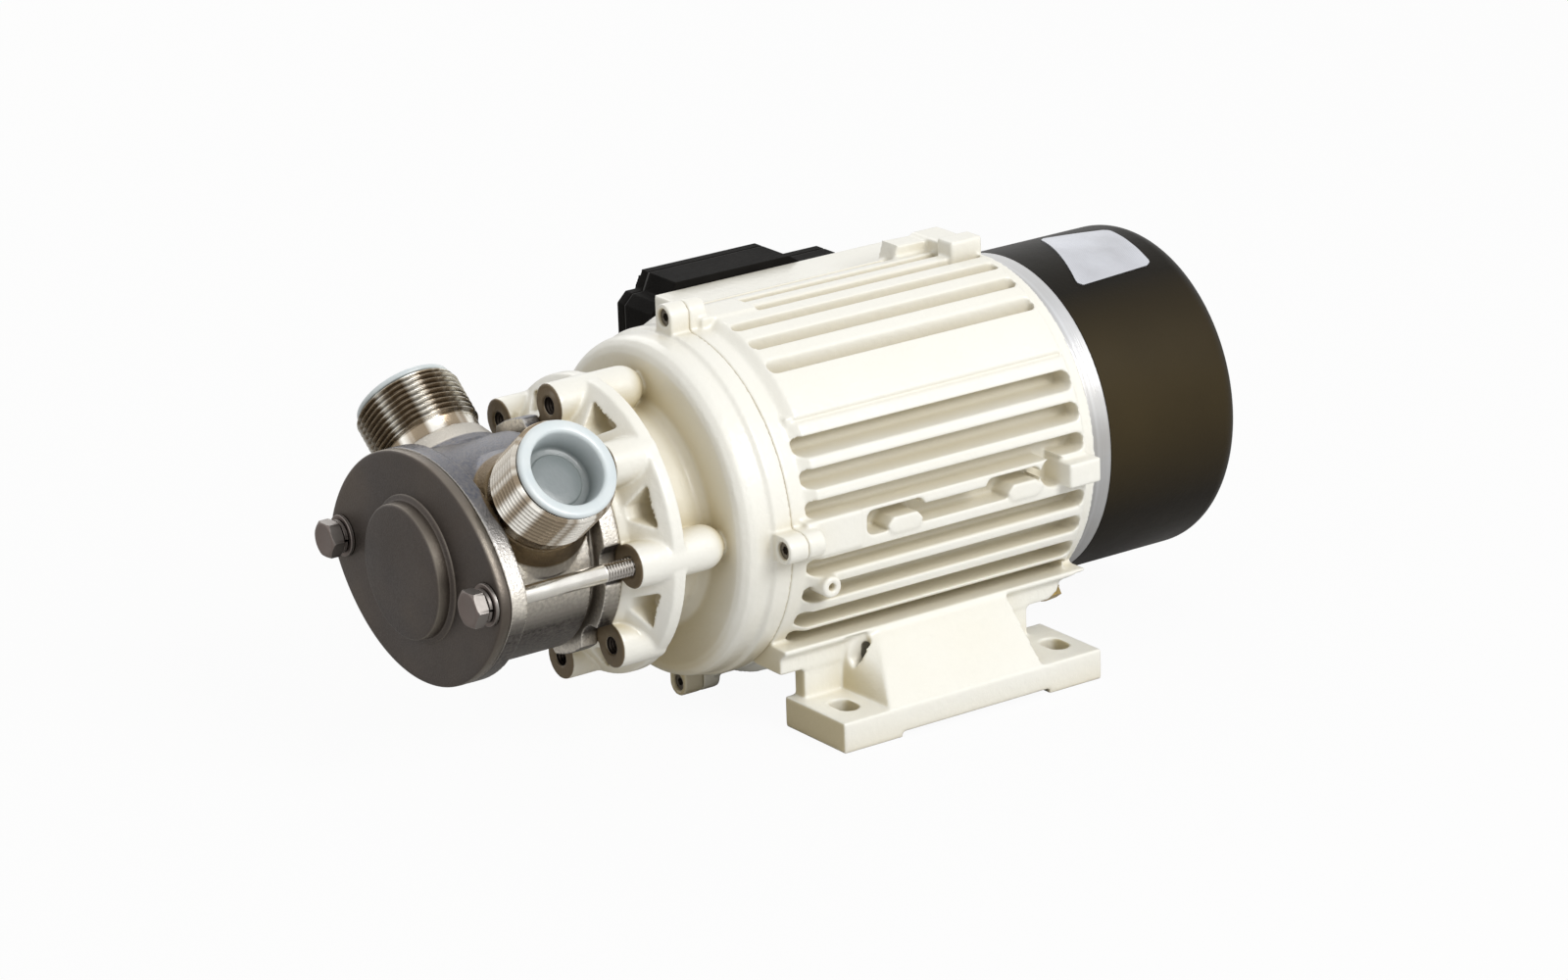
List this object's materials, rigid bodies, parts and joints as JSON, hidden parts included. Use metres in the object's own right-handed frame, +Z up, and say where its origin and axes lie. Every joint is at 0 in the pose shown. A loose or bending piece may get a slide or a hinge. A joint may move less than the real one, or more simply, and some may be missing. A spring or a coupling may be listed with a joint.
{
  "type": "flexible impeller pump",
  "caption": "Self-priming stainless pump head with threaded ports in a V, flanged to a finned electric motor with feet, fan cover and terminal box.",
  "frame": {"origin": "centre of the four foot slots on the plane that the feet stand on", "axes": "+X to the side of the inlet port, +Y along the shaft from the pump head to the fan, +Z up"},
  "size_m": [0.1753, 0.3494, 0.158],
  "materials": {
    "stainless_cast": "satin",
    "stainless_turned": "satin",
    "stainless_screws": "satin",
    "cream_paint": "gloss",
    "bare_aluminium": "satin",
    "black_paint": "satin",
    "black_plastic": "matte",
    "milky_plastic": "satin",
    "grey_plastic": "matte",
    "buff_plastic": "matte",
    "black_rubber": "matte",
    "seal_ceramic": "polished",
    "seal_carbon": "satin",
    "bearing_steel": "polished",
    "hub_bronze": "satin",
    "core_steel": "satin",
    "copper_windings": "satin",
    "plain_brass": "satin"
  },
  "bodies": {
    "pump_and_motor": {"front_cover": "stainless_turned", "cover_sealing_ring": "black_rubber", "cover_screws": "stainless_screws", "cover_flat_washers": "stainless_screws", "cover_spring_washers": "stainless_screws", "pump_body": "stainless_cast", "inlet_nipple": "stainless_turned", "outlet_nipple": "stainless_turned", "wear_plate": "stainless_turned", "cam": "stainless_turned", "seal_seat": "seal_ceramic", "front_end_shield": "cream_paint", "rim_screws": "stainless_screws", "rear_shield_screws": "stainless_screws", "front_bearing": "bearing_steel", "rear_bearing": "bearing_steel", "wave_washer": "stainless_turned", "stator_core": "core_steel", "front_winding": "copper_windings", "rear_winding": "copper_windings", "stator_frame": "cream_paint", "rear_end_shield": "bare_aluminium", "fan_cover": "black_paint", "fan_cover_screws": "stainless_screws", "terminal_box": "black_plastic", "box_gasket": "black_rubber", "box_lid": "black_plastic", "lid_screws": "stainless_screws", "box_seat_screws": "stainless_screws", "terminal_block": "buff_plastic", "run_capacitor": "grey_plastic", "cable_gland": "black_plastic", "gland_nut": "black_plastic", "earth_washer": "plain_brass", "earth_screw": "plain_brass"},
    "rotor": {"drive_shaft": "stainless_turned", "rotor_core": "core_steel", "rotor_end_rings": "bare_aluminium", "front_bearing_inner_ring": "bearing_steel", "rear_bearing_inner_ring": "bearing_steel", "fan": "grey_plastic", "fan_clip": "stainless_turned", "impeller_hub": "hub_bronze", "impeller_key": "stainless_turned", "flexible_impeller": "black_rubber", "seal_ring": "seal_carbon", "seal_spring": "stainless_turned", "water_slinger": "black_rubber"},
    "inlet_stopper": {"inlet_plug": "milky_plastic"},
    "outlet_stopper": {"outlet_plug": "milky_plastic"}
  },
  "joints": [
    {"name": "shaft_spin", "type": "hinge", "parent": "pump_and_motor", "child": "rotor", "pos_m": [0, 0, 0.08], "axis": [0, 1, 0], "continuous": true, "deforming": ["flexible_impeller"]},
    {"name": "inlet_plug_pull", "type": "slide", "parent": "pump_and_motor", "child": "inlet_stopper", "axis": [0.7716, 0, 0.6361], "range_m": [0, 0.03]},
    {"name": "outlet_plug_pull", "type": "slide", "parent": "pump_and_motor", "child": "outlet_stopper", "axis": [-0.7716, 0, 0.6361], "range_m": [0, 0.03]}
  ]
}
